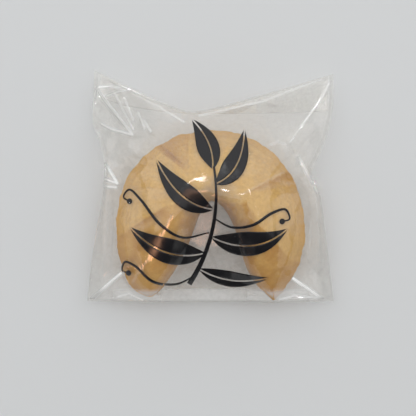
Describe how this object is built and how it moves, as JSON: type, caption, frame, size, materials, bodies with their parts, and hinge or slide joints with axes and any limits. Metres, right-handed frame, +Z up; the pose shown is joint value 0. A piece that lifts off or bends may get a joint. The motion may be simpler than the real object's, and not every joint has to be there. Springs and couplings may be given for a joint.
{
  "type": "fortune cookie",
  "caption": "Folded crisp wafer cookie of horseshoe shape, sealed in a small clear film bag with a dark printed ornament, lying flat.",
  "frame": {"origin": "middle of the bag's box, on the surface that it lies on", "axes": "+X across the bag, +Y from the folded bottom edge to the top edge, +Z up through the bag's thickness"},
  "size_m": [0.0862, 0.0812, 0.0259],
  "materials": {
    "film": "clear glossy film",
    "wafer": "dry baked crumb, darker at the rim",
    "print": "black ink on film"
  },
  "bodies": {
    "root": {"bag": "film"}
  },
  "joints": []
}
